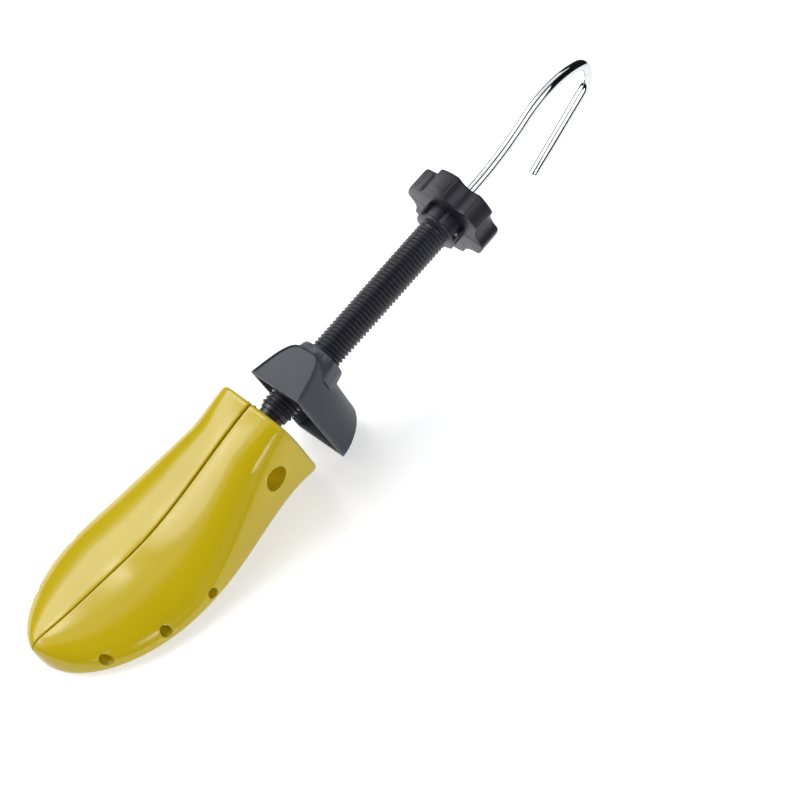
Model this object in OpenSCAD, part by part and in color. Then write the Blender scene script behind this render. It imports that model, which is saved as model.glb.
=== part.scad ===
// Shoe stretcher: a last split lengthwise, a heel block on a long screw and a hook handle.
// +X runs from the toe to the knob, +Z up from the flat sole, the split lies in the XZ plane.
// Everything behind the last lies along the screw axis, which rises from the rear of the last.

/* [Last] */
// Length from the toe tip to the rear, along the sole
last_l = 130; // [122:1:140]
// Width over both halves at the ball of the foot
ball_w = 70; // [64:1:76]
// Width over both halves at the rear
rear_w = 43.4; // [42:0.2:46]
// Height of the instep at the rear
rear_h = 43.7; // [42:0.1:48]
// Height of the toe box
toe_h = 13; // [12:0.5:16]
// Wall thickness of the halves
wall = 3.7; // [3.2:0.1:4.2]
// Gap between the closed halves at the toe
toe_gap = 0.4; // [0.3:0.1:1]
// Gap between the closed halves at the rear
rear_gap = 1.3; // [0.8:0.1:2]
// Bore of the large plug hole in each flank
big_hole_d = 11.2; // [9:0.1:11.4]
// Bore of the small plug holes
small_hole_d = 4.6; // [3.5:0.1:5.5]

/* [Screw] */
// Angle of the screw axis above the sole
tilt = 14; // [12:0.5:16]
// Height of the screw axis at the rear of the last
axis_h = 25; // [24:0.5:26]
// Outer diameter of the length thread
thread_d = 15; // [14.6:0.1:15.2]
// Pitch of the length thread
pitch = 2; // [1.6:0.1:2.2]
// Depth of the length thread
thread_depth = 0.9; // [0.7:0.1:1]
// Where the thread ends, measured along the axis
thread_end = 111; // [105:1:111]

/* [Heel block] */
// Width of the heel block
heel_w = 33.5; // [32:0.5:38]
// Height of the heel block
heel_h = 46.5; // [44:0.5:50]
// Depth of the heel block
heel_d = 22; // [20:0.5:24]
// Gap between the last and the open face of the heel block
heel_at = 11.6; // [10.5:0.1:14]
// Height of the top plate above the screw axis
heel_top = 11.4; // [11:0.1:12]
// Turn of the heel block about the screw
heel_roll = 8.5; // [0:0.5:12]
// Wall thickness of the heel block
heel_wall = 2; // [1.6:0.1:2.4]

/* [Knob] */
// Diameter over the lobes
knob_d = 43.2; // [40:0.2:46]
// Number of lobes
lobes = 6; // [6]
// Depth of the hollows between the lobes
lobe_depth = 3.3; // [2.4:0.1:3.6]
// Thickness of the star disc
knob_t = 12; // [11:0.5:13]

/* [Hook] */
// Diameter of the hook rod
rod_d = 5.2; // [5:0.1:5.2]
// Bend radius of the hook
bend_r = 9.5; // [9:0.5:12]
// Length of the straight tail behind the bend
tail_l = 45; // [36:1:48]

/* [Wedge] */
// Pitch of the rod thread
rod_pitch = 0.8; // [0.8]
// Sideways travel of each half
spread = 6; // [4:0.5:6]
// Rise of the wedge flanks per length
ramp = 0.5; // [0.5]
// Length of the wedge
wedge_l = 18; // [16:0.5:18]

/* [Hidden] */
$fn = 48;

// Fits
running = 0.07;
sliding = 0.2;
apart = 0.4;

// Stations along the screw axis, from the rear face of the last
neck_r = 5.9;
journal_r = 4.8;
shoulder_at = -4.6;
neck_end = -21;
washer_t = 0.9;
yoke_back = -5.6;
yoke_front = -18;
yoke_w = 16;
yoke_low = 14;
yoke_rim = 0.5;
clip_groove = -19.3;
flange_at = 113.5;
disc_at = 120.7;
knob_end = disc_at + knob_t;
tube_end = disc_at + 5.3;
tube_r = 7.1;
hub_r = 9.9;
knob_pin_at = flange_at + 3.5;
knob_pin_from = 4;
knob_pin_r = 1.2;
seat_depth = 1.9;
seat_r = 7.5;
collar_at = knob_end - seat_depth + 0.3;
collar_t = 4.1;
collar_r = 5.2;
collar_pin_at = collar_at + collar_t / 2;
collar_pin_r = 0.8;
crest_r = thread_d / 2;
root_r = crest_r - thread_depth;
thread_play = 0.3;
steps = 16;

// Rod and wedge
rod_r = rod_d / 2;
rod_bore = rod_r + running;
rod_thread_r = 2.5;
rod_tip = -57;
travel = spread / ramp;
wedge_back = -35.5;
wedge_front = wedge_back - wedge_l;
wedge_tip_y = 6.5;
wedge_z = 5.2;
neck_z = 1.6;
head_z = 3.4;
neck_y = 2;
head_y = 3.8;
bend_at = knob_end + 9.2;
bend_rise_r = 140;
bend_over_r = 56;
front_clip_at = -22.4;
rod_thread_end = -25;
hook_sides = 18;
nut_af = 8;
nut_t = 4;

// Guide pins
pin_r = 2;
pin_len = 35.2;
pin_at = -11;
pin_high = journal_r + running + 1.63 + pin_r;
pin_low = -10.5;
boss_r = 4.2;
boss_from = 8.5;

// Shape of the last
toe_share = 0.4;
toe_round = 1.95;
floor_t = 4;
tip_u = 0.05;
stations = [1.1, 1.04, 0.98, 0.92, 0.86, 0.8, 0.74, 0.68, 0.61, 0.54, 0.46, 0.38, 0.3,
            0.23, 0.17, 0.12, 0.08, 0.05, 0.025, 0.01, 0.002];
hollow_stations = [1.04, 0.97, 0.9, 0.84, 0.77, 0.7, 0.63, 0.56, 0.48, 0.38, 0.28, 0.21,
                   0.16, 0.125, 0.105];
big_hole_x = -16.6;
big_hole_z = 21.2;
socket_from = 15.2;
socket_floor = 2;
socket_wall = 1.8;
small_hole_x = [-112.5, -89.1, -65.8];
small_hole_z = 5.6;

yellow = [0.83, 0.70, 0.13];
grey = [0.30, 0.32, 0.34];
black = [0.10, 0.10, 0.11];
steel = [0.72, 0.73, 0.75];

function clamp(v, lo = 0, hi = 1) = min(hi, max(lo, v));
function ease(v) = let (c = clamp(v)) c * c * (3 - 2 * c);
function bulge(v, e) = pow(max(0, 1 - pow(clamp(v), e)), 1 / e);

// Half width, top height and squareness of the last at u, from the toe (0) to the rear (1)
function half_w(u) = u < toe_share
  ? ball_w / 2 * bulge(1 - u / toe_share, toe_round)
  : ball_w / 2 - (ball_w - rear_w) / 2 * ease(pow(clamp((u - toe_share) / (1 - toe_share)), 1.12));
function top_h(u) = toe_h + 2.6 * ease((u - 0.1) / 0.32)
  + (rear_h - toe_h - 2.6) * ease((u - 0.34) / 0.8) / ease(0.825);
function square_n(u) = 2 + 1.1 * ease((u - 0.35) / 0.5) + 2.4 * ease((u - 0.8) / 0.2);
function tip_f(u) = u < tip_u ? 0.35 + 0.65 * bulge(1 - u / tip_u, 2.3) : 1;
function gap_at(u) = toe_gap / 2 + (rear_gap - toe_gap) / 2 * u;

// One cross-section of a half, from the sole at the split round the flank to the top
function ring(u, w, h, z0, n, y0, f) =
  let (zc = z0 + 0.16 * (h - z0), turn = min(0.4 * w, 0.85 * (zc - z0)),
       mid = z0 + 0.42 * (h - z0), stop = acos(pow(clamp(y0 / w, 0, 1), n / 2)),
       flat = [[y0, z0], [w - turn, z0]],
       edge = [for (a = [30:30:60]) [w - turn + turn * sin(a), zc - (zc - z0) * cos(a)]],
       flank = [for (k = [0:9]) let (a = stop * k / 9)
         [w * pow(cos(a), 2 / n), zc + (h - zc) * pow(sin(a), 2 / n)]])
  [for (q = concat(flat, edge, flank)) [(u - 1) * last_l, q[0], mid + (q[1] - mid) * f]];

function outer_ring(u) = ring(u, half_w(u), top_h(u), 0, square_n(u), gap_at(u), tip_f(u));
function hollow_w(u) = (half_w(u) - wall) * bulge((0.3 - u) / 0.2, 2.2);
function hollow_ring(u) = ring(u, hollow_w(u), top_h(u) - wall, floor_t, square_n(u), -1, 1);

// Skin through a row of rings with equal counts of points, each ring clockwise as seen along the row
module skin(rings) {
  m = len(rings[0]);
  n = len(rings);
  sides = [for (i = [0:n - 2]) for (j = [0:m - 1])
    let (a = i * m + j, b = i * m + (j + 1) % m) each [[a, b, b + m], [a, b + m, a + m]]];
  caps = [[for (j = [m - 1:-1:0]) j], [for (j = [0:m - 1]) (n - 1) * m + j]];
  polyhedron([for (r = rings) each r], concat(sides, caps), convexity = 6);
}

// Everything inside stands in the frame of the screw axis: x along the axis, z square to it
module on_axis() {
  translate([0, 0, axis_h]) rotate([0, -tilt, 0]) children();
}

module along(from, to, r) {
  translate([from, 0, 0]) rotate([0, 90, 0]) cylinder(h = to - from, r = r);
}

module across(x, z, from, to, r) {
  translate([x, from, z]) rotate([-90, 0, 0]) cylinder(h = to - from, r = r);
}

module washer(from, to, inner, outer) {
  difference() {
    along(from, to, outer);
    along(from - 1, to + 1, inner);
  }
}

// Helical core between a crest line and a root line half a pitch behind it
module threaded_core(from, turns, crest, root) {
  last = turns * steps;
  function spot(k, r, lead) =
    let (a = 360 * k / steps) [from + pitch * (k / steps + lead), r * cos(a), r * sin(a)];
  points = concat(
    [for (k = [0:last]) each [spot(k, crest, 0), spot(k, root, 0.5)]],
    [[from, 0, 0], [from + pitch * (turns + 0.5), 0, 0]]);
  near = 2 * last + 2;
  far = near + 1;
  rising = [for (k = [0:last - 1]) each
    [[2 * k, 2 * k + 1, 2 * k + 3], [2 * k, 2 * k + 3, 2 * k + 2]]];
  falling = [for (k = [0:last - steps - 1]) let (c = 2 * (k + steps)) each
    [[2 * k + 1, c, c + 2], [2 * k + 1, c + 2, 2 * k + 3]]];
  near_fan = concat([for (k = [0:steps - 1]) [near, 2 * k, 2 * k + 2]],
    [[near, 2 * steps, 1], [near, 1, 0]]);
  far_fan = concat([for (k = [last - steps:last - 1]) [far, 2 * k + 3, 2 * k + 1]],
    [[far, 2 * last, 2 * last + 1], [far, 2 * (last - steps) + 1, 2 * last]]);
  polyhedron(points, concat(rising, falling, near_fan, far_fan), convexity = 8);
}

// Ring grooves that stand for the fine thread of the rod
module rod_grooves(from, to) {
  for (x = [from:rod_pitch:to]) washer(x, x + 0.3, rod_thread_r - 0.25, rod_thread_r + 1);
}

// Flank of the wedge grown by a play, as seen from above
module wedge_plan(play, lip = 0) {
  back = wedge_tip_y + play;
  front = back + ramp * wedge_l;
  polygon([[wedge_back + lip, 0], [wedge_back + lip, back - ramp * lip],
           [wedge_front - lip, front + ramp * lip], [wedge_front - lip, 0]]);
}

// Band that follows the wedge flank, from one depth to the next
module flank_band(inner, depth, half_z, lip) {
  back = wedge_tip_y + inner;
  front = back + ramp * wedge_l;
  translate([0, 0, -half_z]) linear_extrude(2 * half_z)
    polygon([[wedge_back + lip, back - ramp * lip], [wedge_back + lip, back - ramp * lip + depth],
             [wedge_front - lip, front + ramp * lip + depth], [wedge_front - lip, front + ramp * lip]]);
}

// Solid ramp inside a half, with the slot that holds the wedge rib
module ramp_block() {
  difference() {
    translate([-54.5, 3.4, -26]) cube([30.5, 30, 32.5]);
    translate([0, 0, -30]) linear_extrude(60) wedge_plan(sliding, 12);
  }
}

module ramp_slot() {
  flank_band(-2, neck_y + 1.8, neck_z + apart, 14);
  flank_band(neck_y - apart, head_y - neck_y + 2 * apart, head_z + apart, 14);
}

module pin_bosses() {
  for (z = [pin_low, pin_high]) across(pin_at, z, boss_from, 30, boss_r);
}

// Cup behind the large hole, so that its plug goes in to a stop
module socket_cup() {
  across(big_hole_x, big_hole_z, socket_from - socket_floor, 40, big_hole_d / 2 + socket_wall);
}

// The half on the +Y side
module half_last() {
  difference() {
    skin([for (u = stations) outer_ring(u)]);
    on_axis() translate([0, -50, -80]) cube([80, 100, 160]);
    difference() {
      skin([for (u = hollow_stations) hollow_ring(u)]);
      on_axis() translate([-4, -50, -80]) cube([80, 100, 160]);
      on_axis() ramp_block();
      on_axis() pin_bosses();
      socket_cup();
    }
    on_axis() along(-10, 10, neck_r + 1.1);
    on_axis() ramp_slot();
    on_axis() for (z = [pin_low, pin_high])
      across(pin_at, z, 0, pin_len / 2 + 0.6, pin_r + running);
    across(big_hole_x, big_hole_z, socket_from, 40, big_hole_d / 2);
    for (x = small_hole_x) across(x, small_hole_z, small_from(x), 60, small_hole_d / 2);
  }
}

// The small holes stop in the hollow behind the flank
function small_from(x) = half_w(1 + x / last_l) - 8;

module left_last() {
  color(yellow) half_last();
}

module right_last() {
  color(yellow) mirror([0, 1, 0]) half_last();
}

// Outline of the heel block at height share v, d behind the open face
function heel_half(d, v, w, deep) =
  (w - 0.26 * d * v) * bulge(d / deep, 1.7 + 2.6 * pow(v, 1.6));
function heel_ring(v, z, w, deep, front) =
  let (side = [for (k = [0:9]) let (d = deep * sin(k * 9.9)) [front + d, heel_half(d, v, w, deep)]])
  [for (q = concat(side, [for (k = [9:-1:0]) [side[k][0], -side[k][1]]])) [q[0], q[1], z]];

module heel_body(inset, front) {
  low = heel_top - heel_h;
  skin([for (v = [0:0.125:1]) let (f = v < 0.01 || v > 0.99 ? 0.6 : 0)
    heel_ring(v, low + inset + v * (heel_h - 2 * inset), heel_w / 2 - inset - f,
      heel_d - inset - f, front)]);
}

// Flared root of the hub, kept below the top plate
module hub_root(end, r, foot_r, foot) {
  intersection() {
    rotate([0, 90, 0]) translate([0, 0, end - foot]) cylinder(h = foot, r1 = foot_r, r2 = r);
    translate([0, -2 * r, -2 * r]) cube([2 * end, 4 * r, 2 * r + heel_top - 0.8]);
  }
}

module heel_block() {
  hub_end = 36.9;
  block_hub_r = 10.8;
  turns = 6;
  shift = floor((hub_end - 10.6 - 4) / pitch) * pitch + 4;
  color(grey) on_axis() difference() {
    rotate([-heel_roll, 0, 0]) difference() {
      union() {
        heel_body(0, heel_at);
        along(heel_at + 4.5, hub_end, block_hub_r);
        hub_root(hub_end, block_hub_r, block_hub_r + 2.1, 9.8);
      }
      difference() {
        heel_body(heel_wall, heel_at);
        along(heel_at + 4.5, hub_end, block_hub_r);
      }
      translate([heel_at - 5, -heel_w / 2 + heel_wall, heel_top - heel_h + heel_wall])
        cube([5.5, heel_w - 2 * heel_wall, heel_h - 2 * heel_wall]);
      translate([0, 0, heel_top - 0.7]) linear_extrude(2) polygon(
        [for (q = heel_ring(1, 0, heel_w / 2 - 2.2, heel_d - 2.4, heel_at + 1.4)) [q[0], q[1]]]);
    }
    along(heel_at, shift + 1.8 * pitch, crest_r + apart);
    along(shift + 4.6 * pitch, hub_end + 5, crest_r + apart);
    threaded_core(shift, turns, crest_r + thread_play, root_r + thread_play);
  }
}

module length_screw() {
  turns = round((thread_end - 4) / pitch - 0.5);
  color(black) on_axis() difference() {
    union() {
      along(neck_end, 0, journal_r);
      along(shoulder_at, 6, neck_r);
      threaded_core(4, turns, crest_r, root_r);
      along(thread_end - 1, tube_end, tube_r);
    }
    along(neck_end - 1, tube_end + 1, rod_bore);
    washer(clip_groove, clip_groove + 1, journal_r - 0.8, journal_r + 1);
    knob_pin_hole();
  }
}

// The pin stops in the tube wall, short of the rod
module knob_pin_hole() {
  across(knob_pin_at, 0, -hub_r - 2, -knob_pin_from, knob_pin_r);
}

module star_knob() {
  hollow_r = 8.4;
  outer = knob_d / 2;
  color(black) on_axis() difference() {
    union() {
      along(flange_at, flange_at + 1.4, 10.6);
      along(flange_at, disc_at + 1, hub_r);
      for (k = [0:5]) rotate([60 * k + 30, 0, 0])
        translate([flange_at, -0.9, 8]) cube([disc_at - flange_at + 0.5, 1.8, 3.6]);
      intersection() {
        rotate([0, 90, 0]) translate([0, 0, disc_at]) linear_extrude(knob_t) difference() {
          circle(r = outer, $fn = 96);
          for (k = [0:lobes - 1]) rotate(360 / lobes * (k + 0.5))
            translate([outer - lobe_depth + hollow_r, 0]) circle(r = hollow_r);
        }
        rotate([0, 90, 0]) rotate_extrude($fn = 96) polygon([
          [0, disc_at], [outer - 2.4, disc_at], [outer - 0.8, disc_at + 0.5], [outer, disc_at + 2],
          [outer, knob_end - 2.6], [outer - 0.9, knob_end - 0.9], [outer - 2.8, knob_end], [0, knob_end]]);
      }
    }
    along(flange_at - 1, tube_end, tube_r + 0.02);
    along(tube_end - 1, knob_end + 1, rod_r + 0.3);
    along(knob_end - seat_depth, knob_end + 1, seat_r);
    rotate([17, 0, 0]) translate([disc_at - 1, -knob_d, -0.25]) difference() {
      cube([1.5, 2 * knob_d, 0.5]);
      translate([-1, knob_d - hub_r - 0.2, -1]) cube([4, 2 * hub_r + 0.4, 3]);
    }
    knob_pin_hole();
  }
}

module knob_pin() {
  color(steel) on_axis() across(knob_pin_at, 0, -hub_r + 0.2, -knob_pin_from - 0.1, knob_pin_r - 0.01);
}

// Points and headings of an arc from heading a to heading b, without its first point
function arc(at, r, a, b, n) = let (up = b > a ? 1 : -1, centre = at + up * r * [-sin(a), cos(a)])
  [for (k = [1:n]) let (h = a + (b - a) * k / n) concat(centre - up * r * [-sin(h), cos(h)], h)];
function tip(path) = let (e = path[len(path) - 1]) [e[0], e[1]];

// The rod rises a little, dips and turns back under itself
function hook_path() =
  let (rise = 16.2, dip = -24.4, back = -160,
       up = arc([bend_at, 0], bend_rise_r, 0, rise, 8),
       over = arc(tip(up), bend_over_r, rise, dip, 9),
       round = arc(tip(over), bend_r, dip, back, 16),
       end = tip(round), along = [cos(back), sin(back)])
  concat([[bend_at - 1.5, 0, 0], [bend_at, 0, 0]], up, over, round,
    [for (d = [tail_l - 1, tail_l]) concat(end + d * along, back)]);

// Tube along the path, its last ring drawn in for the rounded tip
module hook_bend() {
  path = hook_path();
  last = len(path) - 1;
  skin([for (k = [0:last]) let (p = path[k], r = k == last ? rod_r - 0.9 : rod_r - 0.01)
    [for (a = [0:360 / hook_sides:359]) let (lift = r * cos(a))
      [p[0] - lift * sin(p[2]), r * sin(a), p[1] + lift * cos(p[2])]]]);
}

module hook_rod() {
  color(steel) on_axis() difference() {
    union() {
      along(rod_tip, front_clip_at + 0.4, rod_thread_r);
      along(front_clip_at - 0.1, bend_at, rod_r);
      hook_bend();
    }
    rod_grooves(rod_tip + 3.4, rod_thread_end);
    washer(front_clip_at, front_clip_at + 1, 2.1, 4);
    washer(rod_tip + 1.3, rod_tip + 2.3, 2.1, 4);
    collar_pin_hole();
  }
}

module collar_pin_hole() {
  translate([collar_pin_at, 0, -collar_r - 1]) cylinder(h = 2 * collar_r + 2, r = collar_pin_r + 0.02);
}

module rod_collar() {
  color(steel) on_axis() difference() {
    along(collar_at, collar_at + collar_t, collar_r);
    along(collar_at - 1, collar_at + collar_t + 1, rod_r + 0.02);
    collar_pin_hole();
  }
}

module collar_pin() {
  color(steel) on_axis() translate([collar_pin_at, 0, 0.1 - collar_r])
    cylinder(h = 2 * collar_r - 0.2, r = collar_pin_r);
}

// Open ring in a groove, open towards -Z
module open_ring(from, to, inner, outer) {
  difference() {
    washer(from, to, inner, outer);
    translate([from - 1, -inner * 0.7, -outer - 1]) cube([to - from + 2, inner * 1.4, outer + 1]);
  }
}

module rod_clip() {
  color(steel) on_axis() open_ring(front_clip_at + 0.1, front_clip_at + 0.9, 2.15, 4.5);
}

module rod_end_clip() {
  color(steel) on_axis() open_ring(-55.6, -54.8, 2.15, 4.5);
}

module neck_clip() {
  color(steel) on_axis() open_ring(clip_groove + 0.1, clip_groove + 0.9, journal_r - 0.75, 7);
}

module thrust_washer() {
  color(steel) on_axis() washer(yoke_back, yoke_back + washer_t, journal_r + 0.15, 8);
}

module yoke() {
  color(black) on_axis() difference() {
    translate([yoke_front, -yoke_w / 2, -yoke_low])
      cube([yoke_back - yoke_front, yoke_w, yoke_low + pin_high + pin_r + yoke_rim]);
    along(yoke_front - 1, yoke_back + 1, journal_r + running);
    for (z = [pin_low, pin_high]) across(pin_at, z, -yoke_w, yoke_w, pin_r);
    rotate([0, tilt, 0]) translate([0, 0, -axis_h]) above_ceiling();
  }
}

// Everything above the ceiling of the hollow, less a gap
module above_ceiling() {
  high = 2 * rear_h;
  rotate([90, 0, 0]) linear_extrude(2 * yoke_w, center = true) polygon(concat(
    [for (u = hollow_stations) [(u - 1) * last_l, top_h(u) - wall - apart]],
    [[-last_l, high], [last_l, high]]));
}

module guide_pin(z) {
  color(steel) on_axis() across(pin_at, z, -pin_len / 2, pin_len / 2, pin_r);
}

module guide_pin_upper() {
  guide_pin(pin_high);
}

module guide_pin_lower() {
  guide_pin(pin_low);
}

module nut_blank(from, to, grow) {
  translate([from, 0, 0]) rotate([0, 90, 0])
    linear_extrude(to - from) rotate(30) circle(r = (nut_af / 2 + grow) / cos(30), $fn = 6);
}

module wedge() {
  color(black) on_axis() difference() {
    union() {
      for (side = [0, 1]) mirror([0, side, 0]) {
        translate([0, 0, -wedge_z]) linear_extrude(2 * wedge_z) wedge_plan(0);
        flank_band(-1, neck_y + 2, neck_z, 0);
        flank_band(neck_y, head_y - neck_y, head_z, 0);
      }
    }
    along(wedge_front - 1, wedge_back + 1, rod_thread_r + apart);
    nut_blank(wedge_front - 1, wedge_front + nut_t + 0.3, 0.02);
  }
}

module wedge_nut() {
  color(steel) on_axis() difference() {
    nut_blank(wedge_front + 0.3, wedge_front + 0.3 + nut_t, 0);
    along(wedge_front - 1, wedge_front + nut_t + 1, rod_thread_r + running);
  }
}

right_last();
left_last();
heel_block();
length_screw();
star_knob();
hook_rod();
yoke();
guide_pin_upper();
guide_pin_lower();
thrust_washer();
neck_clip();
wedge();
wedge_nut();
rod_collar();
collar_pin();
rod_clip();
knob_pin();
rod_end_clip();
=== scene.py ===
import math

import bmesh
import bpy
import numpy as np
from mathutils import Matrix, Vector


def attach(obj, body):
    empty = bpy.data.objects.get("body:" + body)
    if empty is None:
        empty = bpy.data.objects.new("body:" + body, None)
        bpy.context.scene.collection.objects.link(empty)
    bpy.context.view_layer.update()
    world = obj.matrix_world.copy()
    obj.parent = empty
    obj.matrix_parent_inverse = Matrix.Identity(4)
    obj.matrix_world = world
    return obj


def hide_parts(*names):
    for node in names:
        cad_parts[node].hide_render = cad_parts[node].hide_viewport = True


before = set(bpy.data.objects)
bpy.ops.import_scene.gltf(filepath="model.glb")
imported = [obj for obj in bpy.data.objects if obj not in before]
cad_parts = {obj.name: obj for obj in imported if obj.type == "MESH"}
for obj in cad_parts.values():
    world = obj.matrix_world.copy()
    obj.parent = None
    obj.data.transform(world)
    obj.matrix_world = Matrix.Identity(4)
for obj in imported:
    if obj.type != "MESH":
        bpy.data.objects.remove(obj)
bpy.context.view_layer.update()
mm = 0.001

# the screw axis: x runs along it from the rear face of the last, z is square to it
axisLine = dict(tilt=14.0, height=25.0)
tilt = math.radians(axisLine["tilt"])
toRow = Matrix.Translation((0, 0, axisLine["height"] * mm)) @ Matrix.Rotation(-tilt, 4, "Y")

def clamp(v, lo=0.0, hi=1.0):
    return min(hi, max(lo, v))

def ease(v):
    c = clamp(v)
    return c * c * (3 - 2 * c)

def bulge(v, e):
    return max(0.0, 1 - clamp(v) ** e) ** (1 / e)

# materials

def newMaterial(name):
    mat = bpy.data.materials.new(name)
    mat.use_nodes = True
    nodes, links = mat.node_tree.nodes, mat.node_tree.links
    return mat, nodes, links, nodes["Principled BSDF"]

def objectCoords(nodes, links, scale):
    coords = nodes.new("ShaderNodeTexCoord")
    mapping = nodes.new("ShaderNodeMapping")
    mapping.inputs["Scale"].default_value = scale
    links.new(coords.outputs["Object"], mapping.inputs["Vector"])
    return mapping.outputs["Vector"]

def noise(nodes, links, vector, scale, detail=3.0, rough=0.5):
    n = nodes.new("ShaderNodeTexNoise")
    n.inputs["Scale"].default_value = scale
    n.inputs["Detail"].default_value = detail
    n.inputs["Roughness"].default_value = rough
    links.new(vector, n.inputs["Vector"])
    return n.outputs["Fac"]

def ramp(nodes, links, fac, stops):
    r = nodes.new("ShaderNodeValToRGB")
    el = r.color_ramp.elements
    while len(el) < len(stops):
        el.new(0.5)
    for e, (at, colour) in zip(el, stops):
        e.position = at
        e.color = (*colour, 1) if len(colour) == 3 else colour
    links.new(fac, r.inputs["Fac"])
    return r.outputs["Color"]

def remap(nodes, links, value, lo, hi, outLo, outHi):
    m = nodes.new("ShaderNodeMapRange")
    for key, v in zip(("From Min", "From Max", "To Min", "To Max"), (lo, hi, outLo, outHi)):
        m.inputs[key].default_value = v
    links.new(value, m.inputs["Value"])
    return m.outputs["Result"]

def bumpFrom(nodes, links, heights, shader):
    below = None
    for height, strength, distance in heights:
        b = nodes.new("ShaderNodeBump")
        b.inputs["Strength"].default_value = strength
        b.inputs["Distance"].default_value = distance
        links.new(height, b.inputs["Height"])
        if below:
            links.new(below, b.inputs["Normal"])
        below = b.outputs["Normal"]
    links.new(below, shader.inputs["Normal"])

# moulded plastic: slow colour drift, fine flow waves, dust specks and a painted highlight, a paler colour on
# sharp convex edges
moulded = dict(
    speckScale=2600, speckFrom=0.69, speckFull=0.76, edgeFrom=0.52, edgeFull=0.60, smearScale=55,
    waveScale=38, waveDepth=0.004, grainDepth=0.0002)

def plastic(name, look):
    mat, nodes, links, shader = newMaterial(name)
    vec = objectCoords(nodes, links, (1, 1, 1))
    drift = noise(nodes, links, vec, look["driftScale"], 2.0)
    colour = ramp(nodes, links, drift, [(0.3, look["deep"]), (0.7, look["pale"])])
    specks = noise(nodes, links, vec, moulded["speckScale"], 2.0)
    speckSpan = (moulded["speckFrom"], moulded["speckFull"])
    speckMask = remap(nodes, links, specks, *speckSpan, 0.0, look["specks"])
    mix = nodes.new("ShaderNodeMix")
    mix.data_type = "RGBA"
    links.new(speckMask, mix.inputs["Factor"])
    links.new(colour, mix.inputs["A"])
    mix.inputs["B"].default_value = (*look["speckColour"], 1)
    # painted highlight: sharp convex edges, found by pointiness, take the paler edge colour
    geometry = nodes.new("ShaderNodeNewGeometry")
    edgeSpan = (moulded["edgeFrom"], moulded["edgeFull"])
    edge = remap(nodes, links, geometry.outputs["Pointiness"], *edgeSpan, 0.0, look["edgeHighlight"])
    paintedHighlight = nodes.new("ShaderNodeMix")
    paintedHighlight.data_type = "RGBA"
    links.new(edge, paintedHighlight.inputs["Factor"])
    links.new(mix.outputs["Result"], paintedHighlight.inputs["A"])
    paintedHighlight.inputs["B"].default_value = (*look["highlightColour"], 1)
    links.new(paintedHighlight.outputs["Result"], shader.inputs["Base Color"])
    smears = noise(nodes, links, vec, moulded["smearScale"], 4.0, 0.6)
    links.new(remap(nodes, links, smears, 0.3, 0.75, *look["rough"]), shader.inputs["Roughness"])
    grain = noise(nodes, links, vec, look["grainScale"], 3.0, 0.6)
    waves = noise(nodes, links, vec, moulded["waveScale"], 1.0)
    swell = (waves, look["waves"], moulded["waveDepth"])
    bumpFrom(nodes, links, [swell, (grain, look["grain"], moulded["grainDepth"])], shader)
    shader.inputs["IOR"].default_value = look["ior"]
    shader.inputs["Specular IOR Level"].default_value = look["specular"]
    return mat

# drawn metal: fine lines along the part, faint smears
def metal(name, look):
    mat, nodes, links, shader = newMaterial(name)
    vec = objectCoords(nodes, links, look["stretch"])
    lines = noise(nodes, links, vec, look["lineScale"], 4.0, 0.65)
    clouds = noise(nodes, links, objectCoords(nodes, links, (1, 1, 1)), 90, 3.0)
    colour = ramp(nodes, links, clouds, [(0.3, look["deep"]), (0.7, look["pale"])])
    links.new(colour, shader.inputs["Base Color"])
    links.new(remap(nodes, links, clouds, 0.3, 0.7, *look["rough"]), shader.inputs["Roughness"])
    bumpFrom(nodes, links, [(lines, look["lines"], 0.0001)], shader)
    shader.inputs["Metallic"].default_value = 1.0
    return mat

# each edge colour below is a painted highlight on sharp convex edges
yellowPlastic = plastic("yellowPlastic", dict(
    deep=(0.585, 0.44, 0.006), pale=(0.64, 0.485, 0.011), driftScale=16,
    specks=0.2, speckColour=(0.72, 0.60, 0.18), edgeHighlight=0.35, highlightColour=(0.78, 0.66, 0.20),
    rough=(0.13, 0.19), grainScale=3800, grain=0.05, waves=0.05, ior=1.49, specular=0.5))
greyPlastic = plastic("greyPlastic", dict(
    deep=(0.030, 0.035, 0.048), pale=(0.040, 0.046, 0.061), driftScale=22,
    specks=0.3, speckColour=(0.12, 0.13, 0.15), edgeHighlight=0.5, highlightColour=(0.17, 0.18, 0.20),
    rough=(0.40, 0.50), grainScale=3000, grain=0.3, waves=0.04, ior=1.49, specular=0.38))
blackPlastic = plastic("blackPlastic", dict(
    deep=(0.007, 0.007, 0.013), pale=(0.012, 0.012, 0.021), driftScale=30,
    specks=0.25, speckColour=(0.05, 0.05, 0.055), edgeHighlight=0.4, highlightColour=(0.07, 0.07, 0.078),
    rough=(0.30, 0.42), grainScale=2600, grain=0.25, waves=0.04, ior=1.5, specular=0.5))
chromedSteel = metal("chromedSteel", dict(
    stretch=(0.25, 1, 1), lineScale=1200, lines=0.06,
    deep=(0.76, 0.77, 0.79), pale=(0.86, 0.87, 0.88), rough=(0.05, 0.10)))
brightSteel = metal("brightSteel", dict(
    stretch=(1, 1, 0.2), lineScale=900, lines=0.3,
    deep=(0.52, 0.53, 0.55), pale=(0.66, 0.67, 0.68), rough=(0.24, 0.36)))
print("materials made")

# mesh helpers, all in millimetres until the mesh is written

def meshObject(name, verts, faces, onAxis=False):
    mesh = bpy.data.meshes.new(name)
    pts = [Vector(v) * mm for v in verts]
    if onAxis:
        pts = [toRow @ p for p in pts]
    mesh.from_pydata(pts, [], faces)
    mesh.validate()
    mesh.update()
    ob = bpy.data.objects.new(name, mesh)
    bpy.context.scene.collection.objects.link(ob)
    return ob

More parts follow.
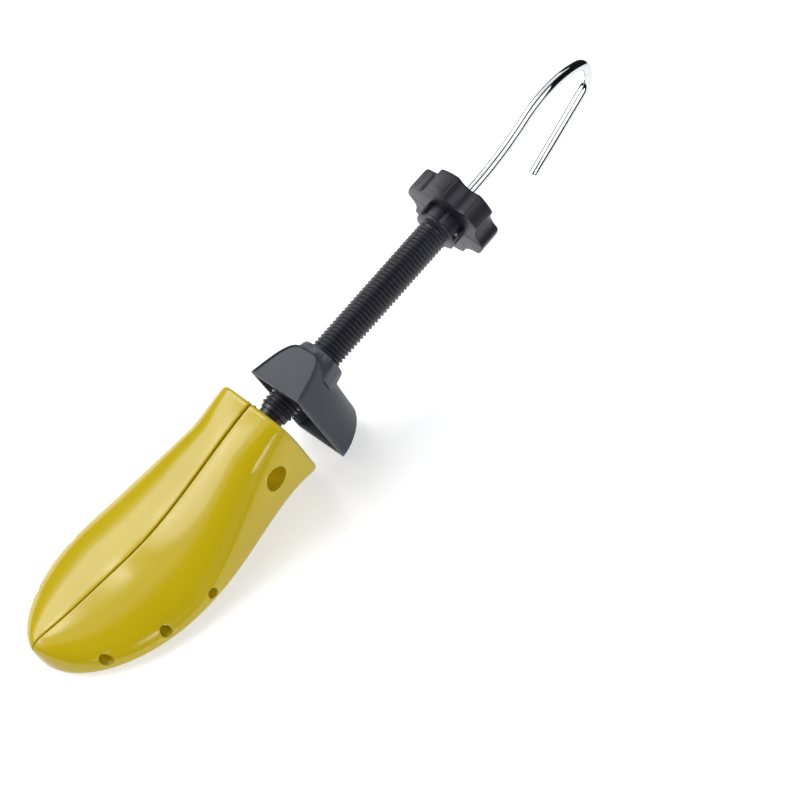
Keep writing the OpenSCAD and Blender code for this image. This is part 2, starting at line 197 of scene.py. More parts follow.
def skinRings(name, rings, onAxis=False, caps=(True, True), closed=False):
    m, n = len(rings[0]), len(rings)
    verts = [tuple(p) for r in rings for p in r]
    faces = []
    for i in range(n if closed else n - 1):
        k = (i + 1) % n
        for j in range(m):
            faces.append((i * m + j, i * m + (j + 1) % m, k * m + (j + 1) % m, k * m + j))
    if not closed:
        if caps[0]:
            faces.append(tuple(range(m - 1, -1, -1)))
        if caps[1]:
            faces.append(tuple((n - 1) * m + j for j in range(m)))
    ob = meshObject(name, verts, faces, onAxis)
    fixNormals(ob)
    return ob

def fixNormals(ob, merge=True):
    bm = bmesh.new()
    bm.from_mesh(ob.data)
    if merge:
        bmesh.ops.remove_doubles(bm, verts=bm.verts, dist=1e-7)
    bmesh.ops.recalc_face_normals(bm, faces=bm.faces)
    bm.to_mesh(ob.data)
    bm.free()

# profile of (along, radius) points turned about the screw axis
def turned(name, profile, sides=72, ring=False):
    angles = np.linspace(0, 2 * math.pi, sides, endpoint=False)
    if ring:
        rings = [[(s, r * math.sin(a), r * math.cos(a)) for s, r in profile] for a in angles]
        return skinRings(name, rings, True, closed=True)
    rings = [[(s, r * math.sin(a), r * math.cos(a)) for a in angles] for s, r in profile]
    return skinRings(name, rings, True)

# round bar across the last, from y0 to y1
def rod(name, x, z, y0, y1, r, onAxis=False, sides=64):
    angles = np.linspace(0, 2 * math.pi, sides, endpoint=False)
    rings = [[(x + r * math.cos(a), y, z + r * math.sin(a)) for a in angles] for y in (y0, y1)]
    return skinRings(name, rings, onAxis)

def block(name, lo, hi, onAxis=True):
    xs, ys, zs = zip(lo, hi)
    low = [(xs[0], ys[0], zs[0]), (xs[1], ys[0], zs[0]), (xs[1], ys[1], zs[0]), (xs[0], ys[1], zs[0])]
    return skinRings(name, [low, [(x, y, zs[1]) for x, y, z in low]], onAxis)

def slab(name, outline, z0, z1, onAxis=True):
    return skinRings(name, [[(x, y, z) for x, y in outline] for z in (z0, z1)], onAxis)

# turn a piece about the screw axis
def spun(ob, degrees):
    ob.data.transform(toRow @ Matrix.Rotation(math.radians(degrees), 4, "X") @ toRow.inverted())
    return ob

def carve(ob, cutter, operation="DIFFERENCE"):
    mod = ob.modifiers.new("cut", "BOOLEAN")
    mod.operation = operation
    mod.solver = "EXACT"
    mod.object = cutter
    bpy.context.view_layer.update()
    done = bpy.data.meshes.new_from_object(ob.evaluated_get(bpy.context.evaluated_depsgraph_get()))
    ob.modifiers.clear()
    ob.data = done
    bpy.data.objects.remove(cutter, do_unlink=True)
    return ob

def smooth(ob, material, sharp=32):
    ob.data.materials.clear()
    ob.data.materials.append(material)
    for p in ob.data.polygons:
        p.use_smooth = True
        p.material_index = 0
    ob.data.set_sharp_from_angle(angle=math.radians(sharp))
    return ob

# points at equal steps along a line of points
def spaced(points, count):
    p = np.array(points)
    d = np.r_[0, np.cumsum(np.hypot(*np.diff(p, axis=0).T))]
    t = np.linspace(0, d[-1], count)
    return np.c_[np.interp(t, d, p[:, 0]), np.interp(t, d, p[:, 1])]

# the two halves of the last
last = dict(
    length=130.0, ballWidth=70.0, rearWidth=43.4, rearHeight=43.7, toeHeight=13.0, ballRise=2.6,
    wall=3.7, floor=4.0, toeGap=0.4, rearGap=1.3, toeShare=0.4, toeRound=1.95,
    tipShare=0.05, tipHeight=0.35, waist=1.12,
    splitRound=0.55, rearRound=2.5, rimRound=0.4,
    bigHole=dict(x=-16.6, z=21.2, r=5.6, bottom=15.2, rimFrom=19.5, cup=13.2, cupR=7.4),
    smallHoles=dict(xs=(-112.5, -89.1, -65.8), z=5.6, r=2.3, depth=8.0))
# what the halves carry inside, measured along, across and square to the screw axis
inside = dict(
    rearWall=4.0, neckR=7.0, pinAt=-11.0, pinHeights=(-10.5, 8.5), pinR=2.07, pinEnd=18.2,
    bossR=4.2, bossAt=8.5, wedgeBack=-35.5, wedgeFront=-53.5, wedgeY=6.5, wedgeRise=9.0,
    blockBack=-24.0, blockFront=-54.5,
    blockY=(0.95, 16.2), blockZ=(-26.0, 6.5), rodSide=3.4)
beyond = 40.0  # cutters reach this far past the flank

def halfWidth(u):
    if u < last["toeShare"]:
        return last["ballWidth"] / 2 * bulge(1 - u / last["toeShare"], last["toeRound"])
    fall = (last["ballWidth"] - last["rearWidth"]) / 2
    share = clamp((u - last["toeShare"]) / (1 - last["toeShare"]))
    return last["ballWidth"] / 2 - fall * ease(share ** last["waist"])

def topHeight(u):
    rise = last["rearHeight"] - last["toeHeight"] - last["ballRise"]
    low = last["toeHeight"] + last["ballRise"] * ease((u - 0.1) / 0.32)
    return low + rise * ease((u - 0.34) / 0.8) / ease(0.825)

# 2 is a half ellipse, more is squarer
def squareness(u):
    return 2 + 1.1 * ease((u - 0.35) / 0.5) + 2.4 * ease((u - 0.8) / 0.2)

# one cut through a half: flat sole, rounded lower edge, arched flank and the rounded edges of the split
def section(w, h, z0, n, y0, squeeze, counts, rounding):
    zc = z0 + 0.16 * (h - z0)
    turn = min(0.4 * w, 0.85 * (zc - z0))
    mid = z0 + 0.42 * (h - z0)
    rr = min(rounding, 0.3 * w, 0.2 * h)
    quarter = np.linspace(0, math.pi / 2, 30)
    flat = np.array([[y0 + rr, z0], [w - turn, z0]])
    edge = [(w - turn + turn * math.sin(a), zc - (zc - z0) * math.cos(a)) for a in quarter]
    stop = math.acos(clamp((y0 + rr) / w) ** (n / 2)) if y0 > 0 else math.pi / 2
    arch = np.linspace(0, stop, 260)
    flank = [(w * math.cos(a) ** (2 / n), zc + (h - zc) * math.sin(a) ** (2 / n)) for a in arch]
    parts = [spaced(flat, counts[0])[:-1], spaced(edge, counts[1])[:-1], spaced(flank, counts[2])]
    if rounding:
        top = flank[-1][1]
        arc = np.linspace(0, math.pi / 2, 5)
        low = [(y0 + rr - rr * math.sin(a), z0 + rr - rr * math.cos(a)) for a in arc[::-1]]
        high = [(y0 + rr - rr * math.sin(a), top - rr + rr * math.cos(a)) for a in arc]
        parts = [np.array(low)[:-1]] + parts[:2] + [parts[2][:-1], np.array(high)]
    ring = np.vstack(parts)
    ring[:, 1] = mid + (ring[:, 1] - mid) * squeeze
    return ring

def outerSection(u):
    u = max(u, 0.0004)
    tip, low = last["tipShare"], last["tipHeight"]
    squeeze = low + (1 - low) * bulge(1 - u / tip, 2.3) if u < tip else 1.0
    gap = last["toeGap"] / 2 + (last["rearGap"] - last["toeGap"]) / 2 * u
    w = halfWidth(u)
    y0 = min(gap, 0.5 * w + 0.1)
    return section(max(w, 0.9), topHeight(u), 0, squareness(u), y0, squeeze, (10, 9, 34), last["splitRound"])

def hollowSection(u):
    w = (halfWidth(u) - last["wall"]) * bulge((0.3 - u) / 0.2, 2.2)
    return section(w, topHeight(u) - last["wall"], last["floor"], squareness(u), -1, 1.0, (6, 6, 24), 0)

# rings lean over towards the rear, so that the last one lies in the rear face
def leaningRing(u, lean, inset=0.0):
    flatRing = outerSection(u)
    xs = np.full(len(flatRing), (u - 1) * last["length"])
    pts = flatRing.copy()
    for _ in range(4):
        xs = (u - 1) * last["length"] - (pts[:, 1] - axisLine["height"]) * math.tan(tilt) * lean
        for j, x in enumerate(xs):
            pts[j] = outerSection(x / last["length"] + 1)[j]
    if inset:
        ahead = np.roll(pts, -1, axis=0) - np.roll(pts, 1, axis=0)
        ahead[0], ahead[-1] = (-1, 0), (-1, 0)
        normal = np.c_[-ahead[:, 1], ahead[:, 0]]
        normal /= np.linalg.norm(normal, axis=1)[:, None]
        pts = pts + normal * inset
    return [(x, y, z) for x, (y, z) in zip(xs, pts)]

def makeHalf():
    stations = [0.0004, 0.002, 0.005, 0.009, 0.014, 0.02, 0.028, 0.037, 0.05, 0.064]
    stations += list(np.linspace(0.08, 0.97, 62))
    rings = [leaningRing(u, ease((u - 0.55) / 0.4)) for u in stations]
    r = last["rearRound"]
    stretch = last["length"] * math.cos(tilt)
    for a in np.linspace(0, math.pi / 2, 7):
        depth = r - r * math.sin(a)
        rings.append(leaningRing(1 - depth / stretch, 1.0, r - r * math.cos(a)))
    return skinRings("half", rings)

def makeHollow():
    rings = []
    for u in [0.104, 0.112, 0.125, 0.142] + list(np.linspace(0.165, 1.05, 40)):
        x = (u - 1) * last["length"]
        rings.append([(x, y, z) for y, z in hollowSection(u)] + [(x, -1, topHeight(u) - last["wall"])])
    hollow = skinRings("hollow", rings)
    carve(hollow, block("rear", (-inside["rearWall"], -60, -90), (80, 60, 90)))
    carve(hollow, makeRamp())
    for z in inside["pinHeights"]:
        carve(hollow, rod("boss", inside["pinAt"], z, inside["bossAt"], beyond, inside["bossR"], True))
    big = last["bigHole"]
    carve(hollow, rod("cup", big["x"], big["z"], big["cup"], beyond, big["cupR"]))
    return hollow

# solid block on each side of the wedge
def makeRamp():
    (backY, frontY), (low, high) = inside["blockY"], inside["blockZ"]
    front, back = inside["blockFront"], inside["blockBack"]
    ramp = slab("ramp", [(front, frontY), (back, backY), (back, beyond), (front, beyond)], low, high)
    carve(ramp, block("rodSide", (-60, -5, -30), (-20, inside["rodSide"], 10)))
    return ramp

# slot along the sloping side of the wedge
def flankBand(name, inner, depth, halfZ, lip):
    back = inside["wedgeY"] + inner
    front = back + inside["wedgeRise"]
    rear = (inside["wedgeBack"] + lip, back - 0.5 * lip)
    far = (inside["wedgeFront"] - lip, front + 0.5 * lip)
    outline = [rear, (rear[0], rear[1] + depth), (far[0], far[1] + depth), far]
    return slab(name, outline, -halfZ, halfZ)

def onRim(vert, hole, r, fromY):
    x, y, z = vert.co / mm
    return y > fromY and abs(math.hypot(x - hole[0], z - hole[1]) - r) < 0.05

def roundRims(ob, hole, r, fromY):
    bm = bmesh.new()
    bm.from_mesh(ob.data)
    rim = []
    for e in bm.edges:
        if len(e.link_faces) != 2 or e.calc_face_angle(0) < math.radians(35):
            continue
        if all(onRim(v, hole, r, fromY) for v in e.verts):
            rim.append(e)
    if rim:
        bmesh.ops.bevel(
            bm, geom=rim, offset=last["rimRound"] * mm, segments=3, profile=0.5, affect="EDGES",
            clamp_overlap=True)
    bm.to_mesh(ob.data)
    bm.free()

def makeLast():
    half = makeHalf()
    carve(half, makeHollow())
    carve(half, turned("neckRoom", [(-10, inside["neckR"]), (10, inside["neckR"])]))
    carve(half, flankBand("slotNeck", -2, 3.8, 2.0, 14))
    carve(half, flankBand("slotHead", 1.6, 2.6, 3.8, 14))
    for z in inside["pinHeights"]:
        carve(half, rod("pinRoom", inside["pinAt"], z, -1, inside["pinEnd"], inside["pinR"], True))
    big, small = last["bigHole"], last["smallHoles"]
    carve(half, rod("bigHole", big["x"], big["z"], big["bottom"], beyond, big["r"], sides=96))
    roundRims(half, (big["x"], big["z"]), big["r"], big["rimFrom"])
    for x in small["xs"]:
        side = halfWidth(1 + x / last["length"])
        carve(half, rod("smallHole", x, small["z"], side - small["depth"], 60, small["r"], sides=48))
        roundRims(half, (x, small["z"]), small["r"], side - 5)
    half.name = "leftHalf"
    twin = half.copy()
    twin.data = half.data.copy()
    twin.name = "rightHalf"
    bpy.context.scene.collection.objects.link(twin)
    twin.data.transform(Matrix.Scale(-1, 4, (0, 1, 0)))
    twin.data.flip_normals()
    for ob, side in ((half, "left"), (twin, "right")):
        smooth(ob, yellowPlastic, 30)
        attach(ob, side)
        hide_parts(side + "_last")

makeLast()
print("last made")

# the heel block: a D-shaped cover, open towards the last, with a hub round the screw
heel = dict(
    width=33.5, height=46.5, depth=22.0, at=11.6, top=11.4, roll=8.5, wall=2.0, edgeRound=1.3,
    rim=1.7, rimDepth=0.55, hubR=10.8, hubAt=4.5, hubEnd=36.9, hubFootR=12.9, hubFoot=9.8,
    rootTop=0.8, coreR=8.5, boreR=7.9,
    thread=dict(start=29.6, end=35.2, base=7.95, crest=7.0, pitch=2.0, sides=40))

# the D-shape seen from above at height v, 0 at the lower edge and 1 at the top plate
def heelRing(v, z, w, deep, front, n=20):
    side = []
    power = 1.7 + 2.6 * v ** 1.6
    for k in range(n):
        d = deep * math.sin(math.radians(89.6) * (k / (n - 1)) ** 0.9)
        side.append((front + d, (w - 0.26 * d * v) * bulge(d / deep, power)))
    side = [tuple(p) for p in spaced(side, n)]
    return [(x, y, z) for x, y in side] + [(x, -y, z) for x, y in reversed(side)]

def heelShell(name, inset, ahead, r):
    low = heel["top"] - heel["height"]
    h = heel["height"] - 2 * inset
    quarter = np.linspace(0, math.pi / 2, 6)
    rows = [(inset + r - r * math.cos(a), r - r * math.sin(a)) for a in quarter]
    rows += [(inset + r + (h - 2 * r) * t, 0.0) for t in np.linspace(0, 1, 24)[1:-1]]
    rows += [(inset + h - r + r * math.sin(a), r - r * math.cos(a)) for a in quarter]
    rings = []
    for z, pull in rows:
        v = clamp(z / heel["height"])
        deep = heel["depth"] - inset - pull
        ring = heelRing(v, low + z, heel["width"] / 2 - inset - pull, deep, heel["at"])
        if ahead:
            ring = [(heel["at"] - ahead, *ring[0][1:])] + ring + [(heel["at"] - ahead, *ring[-1][1:])]
        rings.append(ring)
    return skinRings(name, rings, True)

def makeHeel():
    h = heel
    body = heelShell("heelBlock", 0, 0, h["edgeRound"])
    foot, end, hubR, coreR = h["hubEnd"] - h["hubFoot"], h["hubEnd"], h["hubR"], h["coreR"]
    hubAt = h["at"] + h["hubAt"]
    root = turned("hubRoot", [
        (foot, coreR), (foot, h["hubFootR"]), (end - 0.9, hubR + 0.1), (end - 0.3, hubR - 0.3),
        (end - 0.3, coreR)], 96)
    carve(root, block("above", (0, -30, h["top"] - h["rootTop"]), (60, 30, 40)))
    carve(body, root, "UNION")
    inner = heelShell("inside", h["wall"], 2, 0.6)
    carve(inner, turned("hubLeft", [(hubAt, hubR), (60, hubR)]))
    carve(body, inner)
    hub = turned("hub", [
        (hubAt, coreR), (hubAt, hubR - 0.3), (hubAt + 0.3, hubR), (end - 0.8, hubR), (end - 0.2, hubR - 0.25),
        (end, hubR - 0.8), (end, h["boreR"])], 96)
    carve(body, hub, "UNION")
    carve(body, turned("bore", [(h["at"] - 5, h["boreR"]), (end + 5, h["boreR"])], 96))
    plate = heelRing(1, 0, h["width"] / 2 - h["rim"], h["depth"] - h["rim"] - 0.3, h["at"] + 1.0)
    carve(body, slab("plate", [(x, y) for x, y, z in plate], h["top"] - h["rimDepth"], h["top"] + 2))
    spun(body, -h["roll"])
    ridge = screwThread("heelThread", **h["thread"])
    smooth(body, greyPlastic, 28)
    smooth(ridge, greyPlastic, 40)
    for ob in (body, ridge):
        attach(ob, "heel")
    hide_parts("heel_block")

# thread as one spiral strip with a rounded crest; start and end run out into the core
def screwThread(name, start, end, base, crest, pitch, sides, run=0.5):
    turns = (end - start) / pitch
    count = int(turns * sides)
    near = [(-0.5, 0.0), (-0.40, 0.10), (-0.16, 0.86), (-0.07, 0.99)]
    shape = near + [(-s, h) for s, h in reversed(near)]
    verts, faces = [], []
    lead = 2 * math.pi * ((start - 4) / pitch)
    for k in range(count + 1):
        t = k / sides
        fade = clamp(t / run) * clamp((turns - t) / run)
        a = 2 * math.pi * t + lead + math.pi / 2
        for s, h in shape:
            r = base + (crest - base) * h * fade
            verts.append((start + pitch * (t + s), r * math.cos(a), r * math.sin(a)))
    m = len(shape)
    for k in range(count):
        for j in range(m - 1):
            faces.append((k * m + j, k * m + j + 1, (k + 1) * m + j + 1, (k + 1) * m + j))
    ob = meshObject(name, verts, faces, True)
    fixNormals(ob, merge=False)
    return ob

# the length screw
screw = dict(
    start=4.6, end=112.6, crest=7.5, root=6.6, pitch=2.0, neckEnd=-21.0, journalR=4.8,
    clipAt=-19.3, clipR=4.0, shoulder=-4.6, neckR=5.9, neckTo=3.0, plainR=7.1, tubeEnd=126.0, boreR=2.67)

def makeScrew():
    s = screw
    tip, clip, r, plain = s["neckEnd"], s["clipAt"], s["journalR"], s["plainR"]
    shoulder, neck, neckTo, core = s["shoulder"], s["neckR"], s["neckTo"], s["root"] + 0.02
    body = turned("lengthScrew", [
        (tip, s["boreR"]), (tip, r - 0.4), (tip + 0.4, r), (clip, r), (clip, s["clipR"]),
        (clip + 1, s["clipR"]), (clip + 1, r), (shoulder, r), (shoulder, neck - 0.3),
        (shoulder + 0.3, neck), (neckTo, neck), (neckTo + 0.4, core), (s["end"] + 0.4, core),
        (s["end"] + 0.9, plain), (s["tubeEnd"], plain), (s["tubeEnd"], s["boreR"])], 72, ring=True)
    thread = screwThread("lengthThread", s["start"], s["end"], s["root"], s["crest"], s["pitch"], 40)
    smooth(body, blackPlastic, 35)
    smooth(thread, blackPlastic, 50)
    for ob in (body, thread):
        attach(ob, "screw")
    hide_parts("length_screw")

makeHeel()
print("heel block made")
makeScrew()
print("length screw made")

# the star knob
knob = dict(
    outerR=21.6, lobes=6, hollowR=8.4, lobeDepth=3.3, lobeSoft=1.8, discAt=120.7, discEnd=132.7,
    edgeRound=1.5, lowRound=0.35, hubR=9.9, flangeR=10.6, flangeAt=113.5, tubeR=7.12, tubeTo=126.0, rodR=2.95,
    seatR=7.5, seatDepth=1.9, seamTurn=17, seamWidth=0.45, seamDepth=0.5,
    ribs=6, ribTurn=30, ribWidth=1.6, ribFrom=8.6, ribTo=11.4, pinAt=117.0, pinR=1.2)

def starOutline(shrink, count=240):
    k = knob
    mid = k["outerR"] - k["lobeDepth"] + k["hollowR"]
    soft = k["lobeSoft"]
    pts = []
    for i in range(count):
        a = 2 * math.pi * i / count
        r = k["outerR"]
        for n in range(k["lobes"]):
            b = a - 2 * math.pi * (n + 0.5) / k["lobes"]
            under = k["hollowR"] ** 2 - (mid * math.sin(b)) ** 2
            if math.cos(b) > 0 and under > 0:
                near = mid * math.cos(b) - math.sqrt(under)
                h = clamp(0.5 + 0.5 * (r - near) / soft)
                r = r + (near - r) * h - soft * h * (1 - h)  # rounded corner between lobe and hollow
        r -= shrink
        pts.append((r * math.sin(a), r * math.cos(a)))
    return pts

def makeDisc():
    k = knob
    low, r = k["lowRound"], k["edgeRound"]
    fall, rise = np.linspace(math.pi / 2, 0, 4), np.linspace(0, math.pi / 2, 7)
    rows = [(k["discAt"] + low - low * math.sin(a), low - low * math.cos(a)) for a in fall]
    rows += [(k["discAt"] + 2.0, 0.0), (k["discAt"] + 6.0, 0.0)]
    rows += [(k["discEnd"] - r + r * math.sin(a), r - r * math.cos(a)) for a in rise]
    disc = skinRings("starKnob", [[(s, y, z) for y, z in starOutline(pull)] for s, pull in rows], True)
    half = k["seamWidth"] / 2
    seam = block("seam", (k["discAt"] - 1, -30, -half), (k["discAt"] + k["seamDepth"], 30, half))
    carve(disc, spun(seam, k["seamTurn"]))
    return disc

def makeKnob():
    k = knob
    body = makeDisc()
    flange, r, tube, hubTo = k["flangeAt"], k["flangeR"], k["tubeR"], k["discAt"] + 2.5
    hub = turned("hub", [
        (flange, tube), (flange, r - 0.5), (flange + 0.15, r - 0.15), (flange + 0.5, r), (flange + 1.0, r),
        (flange + 1.4, r - 0.3), (flange + 1.5, k["hubR"]), (hubTo, k["hubR"]), (hubTo, tube)], 96, ring=True)
    carve(body, hub, "UNION")
    side = k["ribWidth"] / 2
    for n in range(k["ribs"]):
        rib = block("rib", (flange + 0.7, -side, k["ribFrom"]), (k["discAt"] + 1.4, side, k["ribTo"]))
        carve(body, spun(rib, 360 / k["ribs"] * n + k["ribTurn"]), "UNION")
    carve(body, turned("tubeRoom", [(flange - 2, tube), (k["tubeTo"], tube)], 96))
    top, seat, seatR = k["discEnd"], k["discEnd"] - k["seatDepth"], k["seatR"]
    carve(body, turned("rodRoom", [(120, k["rodR"]), (top + 2, k["rodR"])], 64))
    carve(body, turned("seat", [
        (seat, seatR - 0.3), (seat + 0.3, seatR), (top - 0.4, seatR), (top + 0.2, seatR + 0.6)], 96))
    carve(body, rod("pinHole", k["pinAt"], 0, -14, -4, k["pinR"], True, 32))
    smooth(body, blackPlastic, 30)
    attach(body, "screw")
    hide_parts("star_knob")

makeKnob()
print("star knob made")

# the hook rod, bent in the plane of the screw axis; each bend is its radius and the heading it ends at
hook = dict(
    r=2.6, bendAt=141.9, bends=((140, 16.2, 12), (56, -24.4, 20), (9.5, -160, 44)), tail=45.0, tipRound=0.8,
    tip=-57.0, threadR=2.5, threadDepth=0.3, threadFrom=-54.0, threadTo=-24.5, pitch=0.8, coreTo=-24.0,
    clips=(-55.7, -22.4), clipWidth=1.0, clipR=2.1)

def arcFrom(at, radius, a, b, n):
    up = 1 if b > a else -1
    ra, rb = math.radians(a), math.radians(b)
    cx, cz = at[0] - up * radius * math.sin(ra), at[1] + up * radius * math.cos(ra)
    out = []
    for h in np.linspace(ra, rb, n + 1)[1:]:
        out.append((cx + up * radius * math.sin(h), cz - up * radius * math.cos(h), h))
    return out

def clipGroove(at, r):
    low, wide = hook["clipR"], hook["clipWidth"]
    return [(at, r), (at, low), (at + wide, low), (at + wide, r)]

# places, headings and radii of the rings, from the threaded tip to the end of the tail
def hookRows():
    h = hook
    tip, core = h["tip"], h["threadR"] - h["threadDepth"]
    profile = [(tip, 1.7), (tip + 0.15, 2.0), (tip + 0.6, core)] + clipGroove(h["clips"][0], core)
    profile += [(h["coreTo"], core), (h["coreTo"] + 0.4, h["r"])] + clipGroove(h["clips"][1], h["r"])
    profile += [(60, h["r"]), (120, h["r"]), (h["bendAt"] - 2, h["r"])]
    path = [(h["bendAt"], 0.0, 0.0)]
    heading = 0
    for radius, turnTo, steps in h["bends"]:
        path += arcFrom(path[-1], radius, heading, turnTo, steps)
        heading = turnTo
    x, z, a = path[-1]
    for d in (9, 18, 27):
        path.append((x + d * math.cos(a), z + d * math.sin(a), a))
    rows = [(s, 0.0, 0.0, r) for s, r in profile] + [(*p, h["r"]) for p in path]
    soft = h["tipRound"]
    for t in np.linspace(0, math.pi / 2, 6):
        d = h["tail"] - soft + soft * math.sin(t)
        rows.append((x + d * math.cos(a), z + d * math.sin(a), a, h["r"] - soft + soft * math.cos(t)))
    return rows

def makeHook():
    h = hook
    rings = []
    for px, pz, angle, r in hookRows():
        ring = []
        for b in np.linspace(0, 2 * math.pi, 32, endpoint=False):
            lift = r * math.cos(b)
            ring.append((px - lift * math.sin(angle), r * math.sin(b), pz + lift * math.cos(angle)))
        rings.append(ring)
    body = skinRings("hookRod", rings, True)
    base = h["threadR"] - h["threadDepth"] - 0.01
    thread = screwThread("rodThread", h["threadFrom"], h["threadTo"], base, h["threadR"], h["pitch"], 20)
    smooth(body, chromedSteel, 35)
    smooth(thread, chromedSteel, 50)
    for ob in (body, thread):
        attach(ob, "hook")
    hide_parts("hook_rod")

makeHook()
print("hook rod made")

# the pieces that come straight from the frame
finishes = {
    "yoke": blackPlastic, "wedge": blackPlastic, "rod_collar": chromedSteel,
    "guide_pin_upper": brightSteel, "guide_pin_lower": brightSteel, "thrust_washer": brightSteel,
    "neck_clip": brightSteel, "wedge_nut": brightSteel, "collar_pin": brightSteel, "rod_clip": brightSteel,
    "knob_pin": brightSteel, "rod_end_clip": brightSteel}
for node, finish in finishes.items():
    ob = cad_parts[node]
    ob.data.materials.clear()
    ob.data.materials.append(finish)
print("inner pieces finished")

# studio: white table, white world, soft boxes and a dark room that only reflections see
studio = dict(
    toe=(-123.5, 0.0), block=(20.2, -8.2), below=0.12, size=6.0,
    tableWhite=(0.86, 0.865, 0.88), tableLift=0.47, world=0.8,
    wallR=1.7, walls=24, wallFoot=-0.2, wallHeight=0.75, lowWalls=(40, 175),
    ceiling=1.45, ceilingHalf=1.75, ceilingBack=0.15, cloth=(0.02, 0.02, 0.022))

def plainMaterial(name, colour, rough):
    mat, nodes, links, shader = newMaterial(name)
    shader.inputs["Base Color"].default_value = (*colour, 1)
    shader.inputs["Roughness"].default_value = rough
    shader.inputs["Specular IOR Level"].default_value = 0.15
    return mat, nodes, links, shader

def shownRays(nodes, links):
    path = nodes.new("ShaderNodeLightPath")
    seen = path.outputs["Is Camera Ray"]
    for other in ("Is Glossy Ray", "Is Transmission Ray"):
        both = nodes.new("ShaderNodeMath")
        both.operation = "MAXIMUM"
        links.new(seen, both.inputs[0])
        links.new(path.outputs[other], both.inputs[1])
        seen = both.outputs[0]
    return seen

# the object leans on its toe and on the lower corner of the heel block, so the table slopes in its frame
def makeTable():
    (toeX, toeZ), (blockX, blockZ) = studio["toe"], studio["block"]
    slope = (blockZ - toeZ) / (blockX - toeX)
    size = studio["size"]
    corners = []
    for x, y in ((-size, -size), (size, -size), (size, size), (-size, size)):
        corners.append((x, y, (toeZ - studio["below"] - slope * toeX) * mm + slope * x))
    mesh = bpy.data.meshes.new("table")
    mesh.from_pydata(corners, [], [(0, 1, 2, 3)])
    table = bpy.data.objects.new("table", mesh)
    bpy.context.scene.collection.objects.link(table)
    mat, nodes, links, shader = plainMaterial("whiteTable", studio["tableWhite"], 0.75)
    shader.inputs["Emission Color"].default_value = (1, 1, 1, 1)
    lift = remap(nodes, links, shownRays(nodes, links), 0, 1, 0, studio["tableLift"])
    links.new(lift, shader.inputs["Emission Strength"])
    mesh.materials.append(mat)

def makeRoom():
    r, walls, top = studio["wallR"], studio["walls"], studio["ceiling"]
    lowFrom, lowTo = studio["lowWalls"]
    verts, faces = [], []
    for k in range(walls):
        turn = 360 * k / walls
        x, y = r * math.cos(math.radians(turn)), r * math.sin(math.radians(turn))
        high = studio["wallHeight"] if lowFrom < turn < lowTo else top
        verts += [(x, y, studio["wallFoot"]), (x, y, high)]
        n = 2 * ((k + 1) % walls)
        faces.append((2 * k, n, n + 1, 2 * k + 1))
    half, back = studio["ceilingHalf"], studio["ceilingBack"]
    faces.append(tuple(range(len(verts), len(verts) + 4)))
    verts += [(-half, -half, top), (half, -half, top), (half, back, top), (-half, back, top)]
    mesh = bpy.data.meshes.new("darkRoom")
    mesh.from_pydata(verts, [], faces)
    room = bpy.data.objects.new("darkRoom", mesh)
    bpy.context.scene.collection.objects.link(room)
    mesh.materials.append(plainMaterial("darkCloth", studio["cloth"], 0.9)[0])
    room.visible_camera = False  # it is only there for the reflections

def whiteWorld():
    world = bpy.data.worlds.new("world")
    bpy.context.scene.world = world
    world.use_nodes = True
    nodes, links = world.node_tree.nodes, world.node_tree.links
    back = nodes["Background"]
    strength = remap(nodes, links, shownRays(nodes, links), 0, 1, studio["world"], 1.0)
    links.new(strength, back.inputs["Strength"])
    back.inputs["Color"].default_value = (1, 1, 1, 1)

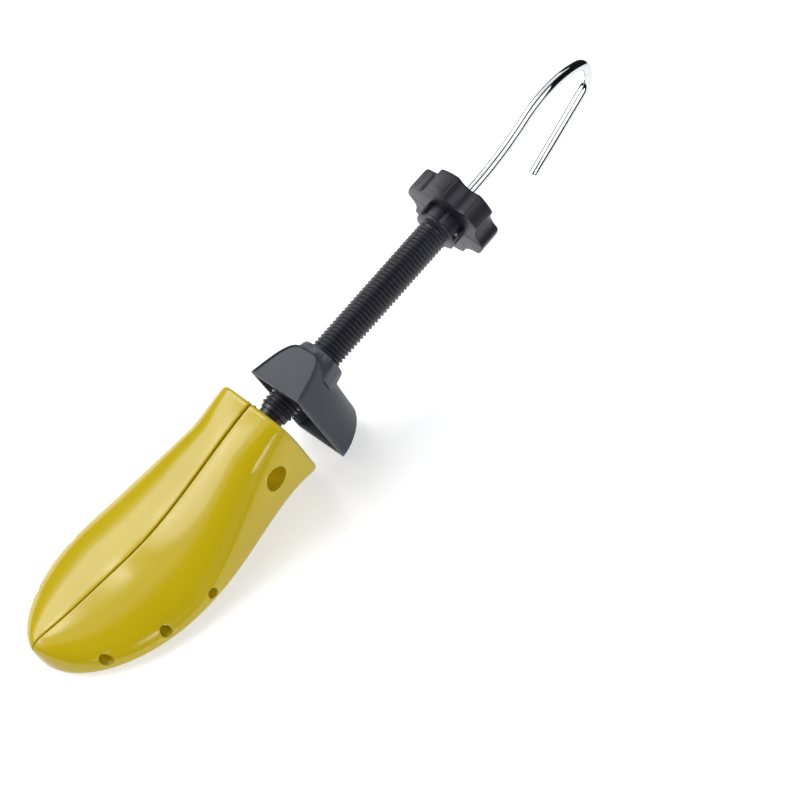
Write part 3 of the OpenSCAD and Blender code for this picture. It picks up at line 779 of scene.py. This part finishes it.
# soft boxes: place, what they face, size and watts
# reflections leave out the fill, and the hook card is in nothing else
boxes = dict(
    farBox=dict(at=(-0.2, 0.78, 0.70), aim=(-0.05, 0, 0.02), size=(1.15, 0.42), power=5.0),
    highBox=dict(at=(-0.011, 0.555, 0.91), aim=(-0.05, 0, 0.02), size=(0.24, 0.30), power=1.5),
    toeBox=dict(at=(-0.486, 0.484, 0.859), aim=(-0.08, 0, 0.02), size=(0.41, 0.26), power=1.3),
    nearBoxLeft=dict(at=(-0.42, -0.89, 0.69), aim=(-0.09, 0, 0.02), size=(0.05, 0.22), power=0.45),
    nearBoxRight=dict(at=(-0.31, -0.92, 0.64), aim=(-0.09, 0, 0.02), size=(0.07, 0.22), power=0.55),
    nearFill=dict(at=(-0.05, -1.2, 0.5), aim=(-0.05, 0, 0.02), size=(1.3, 0.5), power=9.2, shown=False),
    hookCard=dict(
        at=(0.163, -0.158, 0.243), aim=(0.18, 0, 0.08), size=(0.24, 0.21), power=0.24, lights=False))

def softBox(name, at, aim, size, power, shown=True, lights=True):
    light = bpy.data.lights.new(name, "AREA")
    light.shape = "RECTANGLE"
    light.size, light.size_y = size
    light.energy = power
    ob = bpy.data.objects.new(name, light)
    bpy.context.scene.collection.objects.link(ob)
    ob.location = at
    ob.rotation_euler = (Vector(at) - Vector(aim)).to_track_quat("Z", "Y").to_euler()
    ob.visible_glossy = shown
    ob.visible_diffuse = lights
    ob.visible_camera = False

makeTable()
makeRoom()
whiteWorld()
for name, box in boxes.items():
    softBox(name, **box)

# camera where the photographer stood: about half a metre away, looking down and turned a little
shot = dict(
    at=(-0.1387, -0.2649, 0.3793), heading=51.3, down=50.5, roll=10.0, lens=48.33, sensor=36, near=0.01)

def makeCamera():
    heading, down, roll = (math.radians(shot[k]) for k in ("heading", "down", "roll"))
    look = Vector((math.cos(down) * math.cos(heading), math.cos(down) * math.sin(heading), -math.sin(down)))
    level = Vector((math.sin(heading), -math.cos(heading), 0))
    upright = level.cross(look)
    right = level * math.cos(roll) - upright * math.sin(roll)
    up = upright * math.cos(roll) + level * math.sin(roll)
    camera = bpy.data.objects.new("camera", bpy.data.cameras.new("camera"))
    bpy.context.scene.collection.objects.link(camera)
    camera.data.lens = shot["lens"]
    camera.data.sensor_width = shot["sensor"]
    camera.data.clip_start = shot["near"]
    camera.matrix_world = Matrix.Translation(shot["at"]) @ Matrix((right, up, -look)).transposed().to_4x4()
    bpy.context.scene.camera = camera

makeCamera()
bpy.context.scene.view_settings.view_transform = "Standard"
print("studio set")
